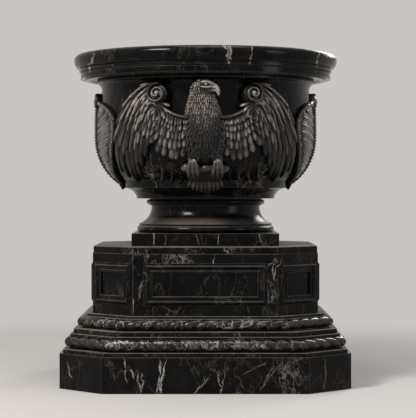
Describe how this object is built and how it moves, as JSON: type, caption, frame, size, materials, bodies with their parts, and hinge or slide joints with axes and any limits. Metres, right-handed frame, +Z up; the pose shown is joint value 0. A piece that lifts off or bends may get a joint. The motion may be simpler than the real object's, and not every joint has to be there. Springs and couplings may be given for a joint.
{
  "type": "baptismal font",
  "caption": "Black marble baptismal font: open round bowl with bullnose rim and eagle reliefs, turned stem, panelled octagonal pedestal, rope mouldings and a lift-out drain plug.",
  "frame": {"origin": "centre of the plinth's underside, on the floor", "axes": "+Z up, -Y towards the side that the picture shows, +X to that viewer's right"},
  "size_m": [0.824, 0.824, 0.962],
  "materials": {
    "polished_marble": "polished black marble with white and tan veins",
    "carved_marble": "carved black marble, satin, worn lighter on its edges",
    "brass": "aged satin brass",
    "pin_steel": "plain stainless rod",
    "rubber": "matt black rubber"
  },
  "bodies": {
    "font": {"base_plinth": "polished_marble", "bowl": "polished_marble", "die_block": "polished_marble", "die_cap": "polished_marble", "dowels_bowl": "pin_steel", "dowels_cap": "pin_steel", "dowels_die": "pin_steel", "dowels_neck_ring": "pin_steel", "dowels_plinth": "pin_steel", "dowels_rim": "pin_steel", "dowels_rope_courses": "pin_steel", "dowels_socle": "pin_steel", "dowels_stem": "pin_steel", "eagle_body_back": "carved_marble", "eagle_body_front": "carved_marble", "eagle_left_wing_back": "carved_marble", "eagle_left_wing_front": "carved_marble", "eagle_perch_back": "carved_marble", "eagle_perch_front": "carved_marble", "eagle_pins_back": "pin_steel", "eagle_pins_front": "pin_steel", "eagle_right_wing_back": "carved_marble", "eagle_right_wing_front": "carved_marble", "leaf_strap_left": "carved_marble", "leaf_strap_right": "carved_marble", "lower_rope_course": "polished_marble", "lower_rope_moulding": "polished_marble", "neck_ring": "polished_marble", "panel_back": "polished_marble", "panel_back_left": "polished_marble", "panel_back_right": "polished_marble", "panel_frame_back": "polished_marble", "panel_frame_back_left": "polished_marble", "panel_frame_back_right": "polished_marble", "panel_frame_front": "polished_marble", "panel_frame_front_left": "polished_marble", "panel_frame_front_right": "polished_marble", "panel_frame_left": "polished_marble", "panel_frame_right": "polished_marble", "panel_front": "polished_marble", "panel_front_left": "polished_marble", "panel_front_right": "polished_marble", "panel_left": "polished_marble", "panel_right": "polished_marble", "pedestal_stem": "polished_marble", "pipe_coupling": "brass", "rim_bed_mould": "polished_marble", "rim_coping": "polished_marble", "socle_slab": "polished_marble", "strap_pins": "pin_steel", "upper_rope_course": "polished_marble", "upper_rope_moulding": "polished_marble", "waste_backnut": "brass", "waste_flange": "brass", "waste_lower_seal": "rubber", "waste_pipe": "brass", "waste_upper_seal": "rubber"},
    "drain_plug": {"drain_plug": "brass", "plug_seal": "rubber", "plug_knob": "brass"}
  },
  "joints": [
    {"name": "plug_lift", "type": "slide", "parent": "font", "child": "drain_plug", "axis": [0, 0, 1], "range_m": [0, 0.4]}
  ]
}
